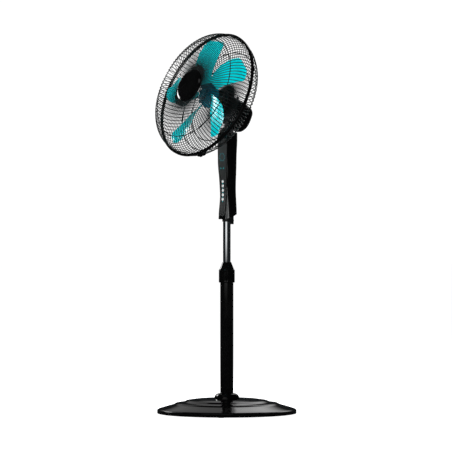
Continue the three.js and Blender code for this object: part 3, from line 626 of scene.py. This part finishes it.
def grey_facet_edges(z, flat, half, face, chamfer):
    """Where the two grey facets of a chamfer begin and end, each side of a shallow fold; their grey is a
    painted reflection.
    """
    start, end = Vector((flat + 0.4, -face + 0.5)), Vector((half - 0.3, -face + chamfer - 0.5))
    fold = between([(GREY_FACET_TOP, FOLD_DEPTH), (GREY_FACET_TOP + 8, 0)], z)
    middle = (start + end) / 2 + Vector((-fold, fold))
    width = max(0.03, (GREY_FACET_TOP - z) / (GREY_FACET_TOP - SLOPE_LOW))
    return [
        middle + (start - middle) * GREY_FACET_FRONT[0] * width,
        middle + (start - middle) * GREY_FACET_FRONT[1] * width,
        middle,
        middle + (end - middle) * GREY_FACET_REAR[0] * width,
        middle + (end - middle) * GREY_FACET_REAR[1] * width,
    ]


def front_half(z, inset=0.0):
    """The front outline from one side seam to the other, at one height."""
    half, face = between(NECK_HALF, z) - inset, between(NECK_FRONT, z) - inset
    chamfer = between(CHAMFER, z)
    flat = flat_half(z, half)
    grey_facet_points = [tuple(p) for p in grey_facet_edges(z, flat, half, face, chamfer)]
    right = [
        (flat - 1.0, -face),
        (flat - 0.2, -face + 0.1),
        (flat + 0.4, -face + 0.5),
        *grey_facet_points,
        (half - 0.3, -face + chamfer - 0.5),
        (half, -face + chamfer + 0.6),
        (half, -face + chamfer + 3),
        (half, -SEAM),
    ]
    left = [(-x, y) for x, y in reversed(right)]
    middle_points = [(flat * s, -face) for s in (-0.5, 0, 0.5)]
    return left + middle_points + right


def rear_half(z, inset=0.0, steps=28):
    """The rounded rear outline from one side seam to the other."""
    half, rear = between(NECK_HALF, z) - inset, between(NECK_REAR, z) - inset
    turns = [math.pi * i / steps for i in range(steps + 1)]
    return [(half * math.cos(a), max(SEAM, rear * math.sin(a) ** 0.8)) for a in turns]


def bottom_height(y):
    """The slanted bottom edge: lower in front than behind."""
    depth_in_front = between(NECK_FRONT, NECK_BOTTOM)
    reach = depth_in_front + between(NECK_REAR, SLOPE_HIGH)
    return SLOPE_LOW + (SLOPE_HIGH - SLOPE_LOW) * (y + depth_in_front) / reach


def neck_shell(outline, levels=64):
    """One half of the neck from its slanted bottom to its top, turned in over the top edge."""
    rings = []
    shoulder = NECK_TOP - 2
    for k in range(levels + 1):
        z = SLOPE_LOW + (shoulder - SLOPE_LOW) * k / levels
        ring = []
        for x, y in outline(z):
            low = bottom_height(y)
            ring.append((x, y, low + (shoulder - low) * k / levels))
        rings.append(ring)
    for inset, drop in ((0.3, 1), (0.9, 0.3), (2.0, 0)):
        rings.append([(x, y, NECK_TOP - drop) for x, y in outline(NECK_TOP, inset)])
    wide, deep = NECK_OPENING
    edge = [(max(-wide, min(wide, x)), max(-deep, min(deep, y))) for x, y in outline(NECK_TOP, 2.0)]
    rings.append([(x, y, NECK_TOP) for x, y in edge])
    return skin(rings, loop=False, caps=False)


print("neck at the buttons is", 2 * between(NECK_HALF, 757), "mm wide")

# %% [markdown]
# The two facets beside the panel take a lighter grey: a painted reflection of a soft box. They are the same
# mesh, so the faces there simply take the second finish. The buttons pass through oval holes.

# %% Neck halves
BUTTON_HEIGHTS = [793 - 15.2 * i for i in range(5)]
BUTTON_HALF = (5.5, 4.8)


def button_hole(z, grow):
    """An oval drill along Y for one button."""
    x_half, z_half = (value + grow for value in BUTTON_HALF)
    oval = Matrix.Diagonal((x_half, z_half, 1, 1))
    return along("Y", moved(rod(1, -60, 10, 40), oval), (0, 0, z))


holes = [button_hole(z, 0.35) for z in BUTTON_HEIGHTS]
front = make(
    "neck_front_shell",
    neck_shell(front_half),
    [gloss_abs, painted_reflection_abs],
    "column",
    ["neck_front"],
    cutters=holes,
    thickness=NECK_WALL,
    crease=22,
)
# faces on the two chamfer facets take the grey of the painted reflection
for face in front.data.polygons:
    x, y, z = (value / MM for value in face.center)
    half, front_face = between(NECK_HALF, z), between(NECK_FRONT, z)
    flat = flat_half(z, half)
    far, near, fold, near_end, far_end = grey_facet_edges(z, flat, half, front_face, between(CHAMFER, z))
    within = far.x < abs(x) < near.x or near_end.x < abs(x) < far_end.x
    face.material_index = 1 if within and face.normal.y < -0.25 and z < GREY_FACET_TOP else 0
rear = make(
    "neck_rear_shell",
    neck_shell(rear_half),
    gloss_abs,
    "column",
    ["neck_rear"],
    cutters=[
        *[along("Y", rod(3.4, 14, 60), (x, 0, z)) for x, z in ((-17, 730), (17, 730), (0, 884))],
        along("Y", rod(4.5, 20, 60), (0, 0, 712)),
    ],
    thickness=NECK_WALL,
    crease=30,
)
print("grey facets", sum(f.material_index for f in front.data.polygons))

# %% [markdown]
# ## Control panel
# A thin film-covered plate follows the flat front of the neck. Its printing is a ring of small dots, two
# dots below it, and a short mark under each button; all of it is generic.

# %% Panel
PANEL_LOW, PANEL_HIGH = 676, 940


def panel_face(z):
    """How far the panel's face stands in front of the pole's axis."""
    return -between(NECK_FRONT, z) - 1.5


def panel_form(levels=66, rounding=7.0):
    """The panel's plate: its ends are rounded in plan."""
    rings = []
    for k in range(levels + 1):
        z = PANEL_LOW + (PANEL_HIGH - PANEL_LOW) * k / levels
        near_end = min(z - PANEL_LOW, PANEL_HIGH - z)
        pull = rounding - math.sqrt(max(0.0, rounding**2 - max(0.0, rounding - near_end) ** 2))
        half, face = between(PANEL_HALF, z) - pull * 0.6, panel_face(z)
        section = [
            (-half, face + 1.2),
            (-half, face + 0.4),
            (-half + 0.4, face),
            (0, face),
            (half - 0.4, face),
            (half, face + 0.4),
            (half, face + 1.2),
        ]
        rings.append([(x, y, z) for x, y in section])
    return skin(rings)


make(
    "panel_plate",
    panel_form(),
    panel_film,
    "column",
    ["control_panel"],
    cutters=holes,
    crease=30,
)

# %% [markdown]
# Printed marks are slices a tenth of a millimetre thick, laid on the film.


# %% Printed marks
def dot(x, z, radius, squash=1.0):
    """A round or oval mark on the panel."""
    size = Matrix.Diagonal((1, squash, 1, 1))
    return along("Y", moved(rod(radius, 0, 0.1, 20), size), (x, panel_face(z) - 0.09, z))


RING_HEIGHT, RING_RADIUS, RING_DOTS = 876, 12.5, 10
ring_turns = [2 * math.pi * (k + 0.5) / RING_DOTS for k in range(RING_DOTS)]
marks = [dot(RING_RADIUS * math.cos(t), RING_HEIGHT + RING_RADIUS * math.sin(t), 1.5) for t in ring_turns]
marks += [dot(x, 838, 2.2) for x in (-7, 7)]
marks += [dot(0, z - 7.8, 2.4, 0.45) for z in BUTTON_HEIGHTS]
make("panel_marks", together(*marks), printed_ink, "column")

# %% [markdown]
# Each button is an oval stem with a pillowed top that stands a little proud of the panel.

# %% Buttons
for number, z in enumerate(BUTTON_HEIGHTS, 1):
    face = panel_face(z) - 1.4
    stem = [(0, 0, 0), (0.55, 0.12, 0.5), (0.88, 0.45, 0.3), (0.98, 1.0, 0.3), (0.98, 12, 0), (0, 12, 0)]
    oval = Matrix.Diagonal((*BUTTON_HALF, 1, 1))
    cap = along("Y", moved(spin(softened(stem), 48), oval), (0, face, z))
    make(f"button_cap_{number}", cap, button_abs, f"button_{number}", [f"button_{number}"])

# %% [markdown]
# ## Motor housing
# The rear of the motor housing is a deep egg-ended drum with a belly underneath for the swing gear. Its
# outline at each depth is a rounded box, found from how far it reaches above, below and to the sides.

# %% Rear housing
COVER_TOP = [(-96, 8), (-94, 17), (-86, 26), (-70, 31), (-10, 35.5)]
COVER_BOTTOM = [(-96, 36), (-94, 46), (-86, 59), (-74, 64), (-34, 61), (-10, 49)]
COVER_SIDE = [(-96, 18), (-94, 28), (-86, 39), (-66, 47), (-10, 46)]
SQUARENESS = 0.82
KNOB_DEPTH = -35
cover_top, cover_bottom, cover_side = curved(COVER_TOP), curved(COVER_BOTTOM), curved(COVER_SIDE)


def cover_ring(z, inset=0.0, height=None, steps=72):
    """The housing's outline at one depth, drawn in by the inset."""
    ring = []
    for k in range(steps):
        angle = 2 * math.pi * k / steps
        c, s = math.cos(angle), math.sin(angle)
        up = cover_top(z) if s > 0 else cover_bottom(z)
        x = math.copysign(abs(c) ** SQUARENESS, c) * (cover_side(z) - inset)
        y = math.copysign(abs(s) ** SQUARENESS, s) * (up - inset)
        ring.append((x, y, z if height is None else height))
    return ring


depths = [-10 - 86 * math.sin(math.pi / 2 * k / 40) for k in range(41)]
cover_rings = [cover_ring(z) for z in depths]
cover_rings += [[(x * s, y * s - 6 * (1 - s), z) for x, y, z in cover_ring(-96)] for s in (0.7, 0.35, 0.02)]
vents = [box((-11, 11), (y - 1.5, y + 1.5), (-101, -91), 1.4) for y in (-3, -11, -19, -27)]
make(
    "motor_drum",
    skin(cover_rings, caps=False),
    gloss_abs,
    "head",
    ["motor_rear_cover"],
    HEAD,
    cutters=[
        along("Y", rod(16.4, -90, -40, 64), (0, 0, -31.5)),
        along("Y", rod(3.4, 20, 60), (0, 0, KNOB_DEPTH)),
        *vents,
    ],
    thickness=NECK_WALL,
    crease=30,
)

# %% [markdown]
# The front of the housing is a satin cap of the same outline, with a boss that the guards screw on.


# %% Front housing
def circle(radius, height, steps=72):
    """A ring of points."""
    turns = [2 * math.pi * k / steps for k in range(steps)]
    return [(radius * math.cos(t), radius * math.sin(t), height) for t in turns]


cap_edge = [(0.2, -9.7), (0, -9.3), (0, 14.5), (0.5, 16), (1.6, 17.8), (3.2, 19.4), (5.2, 20.3), (7, 20.5)]
cap_inside = [(8, 17.9), (2.6, 12.4), (2.6, -9.7)]
boss = [(22.4, 20.5), (22, 21), (22, 32.4), (21.4, 33), (13, 33), (12.5, 32.5), (12.5, 17.9)]
cap_rings = [cover_ring(-9.7, inset, height) for inset, height in cap_edge]
cap_rings += [circle(radius, height) for radius, height in boss]
cap_rings += [cover_ring(-9.7, inset, height) for inset, height in cap_inside]
cap_form = skin([*cap_rings, cap_rings[0]], caps=False)
make("motor_cap", cap_form, satin_abs, "head", ["motor_front_cover"], HEAD)

# %% [markdown]
# The swing knob is pulled and pushed, so its rim is knurled.

# %% Swing knob
knob_base = cover_top(KNOB_DEPTH)
knob_steps = [
    (0, 0),
    (3, 0),
    (3, 3.9),
    (4.2, 4.1),
    *[(4.8, 4.8 + k) for k in range(9)],
    (4.1, 13.8),
    (2.5, 14),
    (0, 14),
]
knob = [(r, knob_base + height) for r, height in knob_steps]
knob_form = along("Y", fluted(knob, 20, 0.4, knob_base + 4.4, knob_base + 13.6, 120), (0, 0, KNOB_DEPTH))
make("swing_pull", knob_form, satin_abs, "swing_knob", ["swing_knob"], HEAD)

# %% [markdown]
# ## Guards
# Each guard is a basket of bent steel wires welded to a rim, a ring or two and a centre plate, then coated
# in black. The CAD model has twelve thick wires on each side in place of many thin ones. The number and the
# thickness of the thin wires here were chosen for how dense the guards look. They aren't a count of a real
# guard's wires, nor a measure of them.

# %% Guard wires
RIM_PLANE = 96.5
WIRE_RADIUS = 1.35
FRONT_COUNT = 108
REAR_COUNT = 96
RING_WIRE_RADIUS = 1.6


def basket(profile, count, start):
    """Evenly spaced wires, each bent along a smooth (radius, height) profile."""
    path = smooth_path([(r, 0.0, h) for r, h in profile], 4)
    return repeated(sweep(path, WIRE_RADIUS, (0, 1, 0), 6), count, start)


def wire_ring(radius, height, thickness=RING_WIRE_RADIUS):
    """A closed ring of wire."""
    turns = [2 * math.pi * k / 8 for k in range(8)]
    section = [(radius + thickness * math.cos(t), height + thickness * math.sin(t)) for t in turns]
    return spin(section, 144)


front_profile = [
    (220.8, 1.7),
    (216.6, 3.5),
    (216.4, 20),
    (208, 40),
    (196, 53),
    (178, 64.0),
    (150, 71.0),
    (110, 75.5),
    (57, 78.4),
    (50, 78.6),
]
front_plate = [(14, 78.0, 0.3), (57, 78.0, 0.5), (57, 79.6, 0.5), (14, 79.6, 0.3)]
front_basket = moved(
    together(
        basket(front_profile, FRONT_COUNT, 0.0),
        wire_ring(220.8, 1.7, 1.5),
        wire_ring(178.5, 62.0),
        spin(softened(front_plate), 72),
    ),
    Matrix.Translation((0, 0, RIM_PLANE)),
)
make("front_basket", front_basket, coated_wire, "head", ["front_guard"], HEAD)

rear_profile = [
    (220.8, -1.7),
    (216.6, -3.5),
    (216.0, -20),
    (206, -38),
    (195, -50.5),
    (179, -60.5),
    (141, -67.5),
    (100, -71.5),
    (60, -74.0),
    (46, -74.4),
]
rear_plate = [(22.3, -75.7, 0.3), (50, -75.7, 0.6), (50, -73.3, 0.6), (40, -73.3, 0), (22.3, -73.3, 0.3)]
rear_basket = moved(
    together(
        basket(rear_profile, REAR_COUNT, math.pi / REAR_COUNT),
        wire_ring(220.8, -1.7, 1.5),
        wire_ring(180, -58.0),
        wire_ring(141, -65.0),
        spin(softened(rear_plate), 72),
    ),
    Matrix.Translation((0, 0, RIM_PLANE)),
)
make("rear_basket", rear_basket, coated_wire, "head", ["rear_guard"], HEAD)

# %% [markdown]
# A plastic hoop clips over both rims. It is open near the bottom, a little to one side, where a screw
# through two lugs draws it tight. It is swept round in steps so that the gap stays open.

# %% Hoop
HOOP_RADIUS = 225
HALF_GAP = 1.5
CLAMP_TURN = math.radians(18.5)
HOOP = [
    (218, -4.6, 0.5),
    (HOOP_RADIUS, -4.6, 1.6),
    (HOOP_RADIUS, 4.6, 1.6),
    (218, 4.6, 0.5),
    (218, 3.4, 0.3),
    (223.8, 3.4, 0.6),
    (223.8, -3.4, 0.6),
    (218, -3.4, 0.3),
]
section = softened(HOOP, steps=4)
gap_angle = math.asin(HALF_GAP / HOOP_RADIUS)
hoop_rings = []
for k in range(181):
    turn = -math.pi / 2 + gap_angle + (2 * math.pi - 2 * gap_angle) * k / 180
    hoop_rings.append([(r * math.cos(turn), r * math.sin(turn), h) for r, h in section])


def lug(side):
    """One of the two ears that the clamp screw passes through."""
    inner, outer = HALF_GAP, 15
    low, high = -6.6, 6.6
    corners = [
        (inner, -224.2, 0),
        (outer + 4, -223.4, 3),
        (outer, -232.5, 3),
        (outer - 3, -237, 2),
        (inner, -237, 0.8),
    ]
    outline = softened(corners, steps=4)
    layers = [(0.9, low), (0.0, low + 0.9), (0.0, high - 0.9), (0.9, high)]
    middle_x, middle_y = (inner + outer) / 2, -230.5
    rings = []
    for inset, height in layers:
        scale = 1 - inset / 7
        ring = [(middle_x + (x - middle_x) * scale, middle_y + (y - middle_y) * scale) for x, y in outline]
        rings.append([(x * side, y, height) for x, y in ring])
    return skin(rings)


hoop_place = Matrix.Translation((0, 0, RIM_PLANE)) @ Matrix.Rotation(CLAMP_TURN, 4, "Z")
hoop = moved(together(skin(hoop_rings), lug(-1), lug(1)), hoop_place)
make("guard_hoop", hoop, gloss_abs, "head", ["guard_ring"], HEAD, crease=35)

# %% [markdown]
# The rear guard is held by a dished plastic nut whose ribbed rim gives the hand a grip.

# %% Guard nut
nut_steps = [(46.6, z, 0) for z in (26, 28, 30, 32, 34, 36)]
nut = [
    (22.4, 23.5, 0.5),
    (46.6, 23.5, 0.8),
    *nut_steps,
    (46.6, 37.3, 1.0),
    (42.5, 37.5, 0.8),
    (40.8, 27, 2),
    (28, 27, 2),
    (27, 32.6, 1),
    (22.4, 32.6, 0.5),
]
nut_form = fluted(softened(nut), 24, 1.8, 24, 37.4, 288)
make("guard_nut_ribbed", nut_form, satin_abs, "head", ["guard_nut"], HEAD)

# %% [markdown]
# ## Badge
# A glossy black cap covers the middle of the front guard: a flat bevel all round, then a low dome. The
# lettering of the real one is left out.

# %% Badge
badge = [
    (0, 170, 0),
    (5, 170, 0.4),
    (5, 176.4, 0),
    (53.5, 176.4, 0.6),
    (57.5, 178.0, 0.8),
    (57.5, 179.6, 1.0),
    (50.5, 183.2, 1.6),
    (36, 184.4, 20),
    (0, 185.0, 0),
]
badge_form = spin(softened(badge, closed=False), 128, closed=False)
make("badge_cap", badge_form, gloss_abs, "head", ["front_badge"], HEAD)

# %% [markdown]
# ## Impeller
# Five blades sweep back from a domed hub. Each is twisted and cupped like a scoop, thin at its edges and a
# little thicker where it meets the hub. The edge tables give an angle for each radius: most rows come from a
# least-squares fit of the outline, and the rows near the tip were then smoothed.

# %% Blades
BLADE_ROOT = 28
BLADE_TIP = 198
BLADE_COUNT = 5
BLADE_START = math.radians(14.6)
HUB_EDGE = 41
EDGE_STATIONS = (36, 75, 115, 151, 176, 187, 194, BLADE_TIP)
TRAILING = list(zip(EDGE_STATIONS, (32.8, 27.4, 21.9, 16.2, 10, 7, 3, -3)))
LEADING = list(zip(EDGE_STATIONS, (-9, -12.1, -15.1, -17.4, -19, -18.5, -15, -10)))
MIDDLE = [(36, 97), (60, 106), (100, 111.5), (BLADE_TIP, 107.5)]
REACH = [(36, 11.1), (115, 12.3), (BLADE_TIP, 8)]
trailing_edge, leading_edge, blade_middle, blade_reach = (
    curved(rows) for rows in (TRAILING, LEADING, MIDDLE, REACH)
)


def blade_point(r, share):
    """A point of the blade's middle surface: share runs from leading to trailing edge."""
    lead, trail = leading_edge(r), trailing_edge(r)
    angle = math.radians(lead + (trail - lead) * share)
    cup_depth = 12 * share * (1 - share)
    height = blade_middle(r) + blade_reach(r) * (2 * share - 1) - cup_depth
    return Vector((-r * math.sin(angle), r * math.cos(angle), height))


def blade_form(stations=34, chord=18):
    """One blade, closed and rounded at its edges."""
    rings = []
    for i in range(stations + 1):
        r = BLADE_ROOT + (BLADE_TIP - BLADE_ROOT) * math.sin(math.pi / 2 * i / stations)
        front_side, back_side = [], []
        for k in range(chord + 1):
            share = 0.5 - 0.5 * math.cos(math.pi * k / chord)
            middle = blade_point(r, share)
            thick = (0.35 + 0.75 * math.sqrt(max(0.0, 4 * share * (1 - share)))) * (1.25 - 0.4 * i / stations)
            front_side.append((middle.x, middle.y, middle.z + thick))
            back_side.append((middle.x, middle.y, middle.z - thick))
        rings.append(front_side + back_side[::-1])
    return skin(rings)


hub = [
    (4.3, 64, 0.3),
    (9, 64, 0.8),
    (9, 105.5, 1),
    (29, 105.5, 2),
    (37.5, 76, 0.4),
    (40, 76, 0.8),
    (32.5, 104, 5),
    (26, 108, 3),
    (4.3, 108, 0.3),
]
stiffeners = repeated(box((9, 35.5), (-0.8, 0.8), (80, 105)), 5, math.radians(18))
impeller = together(repeated(blade_form(), BLADE_COUNT, BLADE_START), spin(softened(hub)), stiffeners)
blades = make(
    "blade_set", impeller, [tinted_san, painted_shade_san], "impeller", ["fan_blades"], HEAD, crease=50
)
# faces near the axis take the painted shade of the hub
to_head = HEAD.inverted()
for face in blades.data.polygons:
    x, y, z = to_head @ face.center
    face.material_index = 1 if math.hypot(x, y) < HUB_EDGE * MM else 0

# %% [markdown]
# A small domed nut with grip ribs holds the blades on the shaft.

# %% Spinner nut
spinner_profile = [
    (0, 108.4),
    (14.6, 108.4),
    (15, 109),
    *[(15 - 0.12 * k, 109 + k) for k in range(1, 8)],
    (12.8, 118.5),
    (9, 122),
    (4, 123.2),
    (0, 123.3),
]
spinner = fluted(spinner_profile, 16, 0.9, 108.6, 118)
# the spinner wears the same painted shade as the hub
make("spinner_cap", spinner, painted_shade_san, "impeller", ["spinner_nut"], HEAD)

# %% [markdown]
# ## Parts kept from the CAD model
# Screws, bearings, brackets, coils and feet keep their CAD shape and get a finish.

# %% Finishes for kept parts
KEPT = {
    satin_abs: (
        "base_plate pole_collet neck_socket tilt_fork tilt_bracket run_capacitor swing_crank cord_gland"
    ),
    cast_iron: "base_weight pole_plug motor_bracket rotor",
    foot_rubber: "foot_pad_1 foot_pad_2 foot_pad_3 foot_pad_4",
    enamelled_copper: "winding_front winding_rear",
    sintered_bronze: "swing_bush rear_bearing front_bearing",
    solder_resist: "control_board",
    zinc_steel: (
        "pole_bolt neck_screw_1 neck_screw_2 neck_screw_3 socket_screw tilt_pin tilt_nut stator swing_motor "
        "swing_link guard_ring_screw guard_ring_nut badge_screw shaft drive_pin"
    ),
}
dressed = 0
for look, names in KEPT.items():
    for name in names.split():
        nodes[name].data.materials.clear()
        nodes[name].data.materials.append(look)
        dressed += 1
bare = [name for name, node in nodes.items() if not node.hide_render and not node.data.materials]
print("kept CAD parts dressed", dressed, "bare", bare)

# %% [markdown]
# ## Floor, world and light
# The floor is a pale sweep. Glossy black shows whatever surrounds it, so the surroundings stay dark and five
# glowing sheets draw the highlights: one in front, two behind, one high at the side, and one that only shows
# in reflections, for the glare on a blade. The broad lights that fill in colour are kept out of reflections.

# %% Floor and world
floor_look, tree = new_material("studio_floor")
speckle = add(tree, "TexNoise", {"Vector": add(tree, "TexCoord").outputs["Object"], "Scale": 400.0})
pale = shade(add(tree, "ValToRGB", {"Fac": speckle.outputs["Fac"]}), [(0.3, "#F2F2F2"), (0.7, "#F8F8F8")])
matt = add(
    tree,
    "BsdfPrincipled",
    {"Base Color": pale, "Roughness": 0.9, "Emission Color": (1, 1, 1, 1), "Emission Strength": 1.0},
)
add(tree, "OutputMaterial", {"Surface": matt.outputs[0]})
FLOOR_HALF = 30000
FLOOR_DROP = 0.5
signs = ((-1, -1), (1, -1), (1, 1), (-1, 1))
floor_form = ([(x * FLOOR_HALF, y * FLOOR_HALF, -FLOOR_DROP) for x, y in signs], [(0, 1, 2, 3)])
floor = bpy.data.objects.new("floor", mesh_of(floor_form))
floor.data.materials.append(floor_look)
bpy.context.scene.collection.objects.link(floor)
floor.visible_glossy = False

world = bpy.data.worlds.new("studio")
bpy.context.scene.world = world
world.use_nodes = True
sky = world.node_tree
sky.nodes.clear()
seen = add(sky, "LightPath").outputs["Is Camera Ray"]
dark = add(sky, "Background", {"Color": (0.8, 0.9, 1.0, 1.0), "Strength": 0.02})
white = add(sky, "Background", {"Color": (1, 1, 1, 1), "Strength": 1.05})
both = add(sky, "MixShader", {0: seen, 1: dark.outputs[0], 2: white.outputs[0]})
add(sky, "OutputWorld", {"Surface": both.outputs[0]})
bpy.context.scene.view_settings.view_transform = "Standard"
print("floor and world ready")


# %% Soft boxes
def softbox(name, bearing, distance, low, high, width, strength, fade):
    """An upright glowing sheet that fades out towards its lower edge; heights in metres."""
    look, tree = new_material(name)
    height = add(tree, "SeparateXYZ", {0: add(tree, "TexCoord").outputs["Object"]}).outputs["Z"]
    power = add(
        tree,
        "MapRange",
        {"Value": height, "From Min": low, "From Max": low + fade, "To Min": 0.0, "To Max": strength},
        interpolation_type="SMOOTHSTEP",
    )
    glow = add(tree, "Emission", {"Strength": power.outputs[0]})
    add(tree, "OutputMaterial", {"Surface": glow.outputs[0]})
    centre, across = around(bearing, distance, 0), around(bearing + 90, width / 2, 0)
    up_low, up_high = Vector((0, 0, low)), Vector((0, 0, high))
    left, right = centre - across, centre + across
    corners = [left + up_low, right + up_low, right + up_high, left + up_high]
    sheet = bpy.data.objects.new(name, mesh_of(([tuple(p / MM) for p in corners], [(0, 1, 2, 3)])))
    sheet.data.materials.append(look)
    bpy.context.scene.collection.objects.link(sheet)
    sheet.visible_camera = False
    return sheet


# bearing in degrees; distance, low, high and width in metres; strength; fade in metres
softbox("front_box", -16, 1.6, 0.42, 1.35, 1.5, 1.1, 0.3)
softbox("back_box", 163, 2.4, 0.7, 3.2, 1.2, 1.8, 0.9)
softbox("back_left_box", -165, 2.4, 0.6, 2.6, 1.6, 0.35, 0.5)
softbox("high_side_box", -55, 2.0, 2.7, 3.7, 0.9, 0.8, 0.3)
glare = softbox("glare_box", -134, 2.0, 0.95, 1.58, 0.9, 9.0, 0.1)
glare.visible_diffuse = False
print("soft boxes ready")


# %% Fill lights
def fill(name, place, size, power, aim=(0, 0, 0.9)):
    """A broad light that colours surfaces but isn't mirrored in them."""
    lamp = bpy.data.lights.new(name, "AREA")
    lamp.size = size
    lamp.energy = power
    obj = bpy.data.objects.new(name, lamp)
    obj.location = place
    obj.rotation_euler = (Vector(aim) - Vector(place)).to_track_quat("-Z", "Y").to_euler()
    obj.visible_glossy = False
    bpy.context.scene.collection.objects.link(obj)
    return obj


fill("key_fill", around(-35, 3.0, 2.2), 1.6, 90)
fill("top_fill", Vector((0, 0, 3.2)), 2.5, 60)
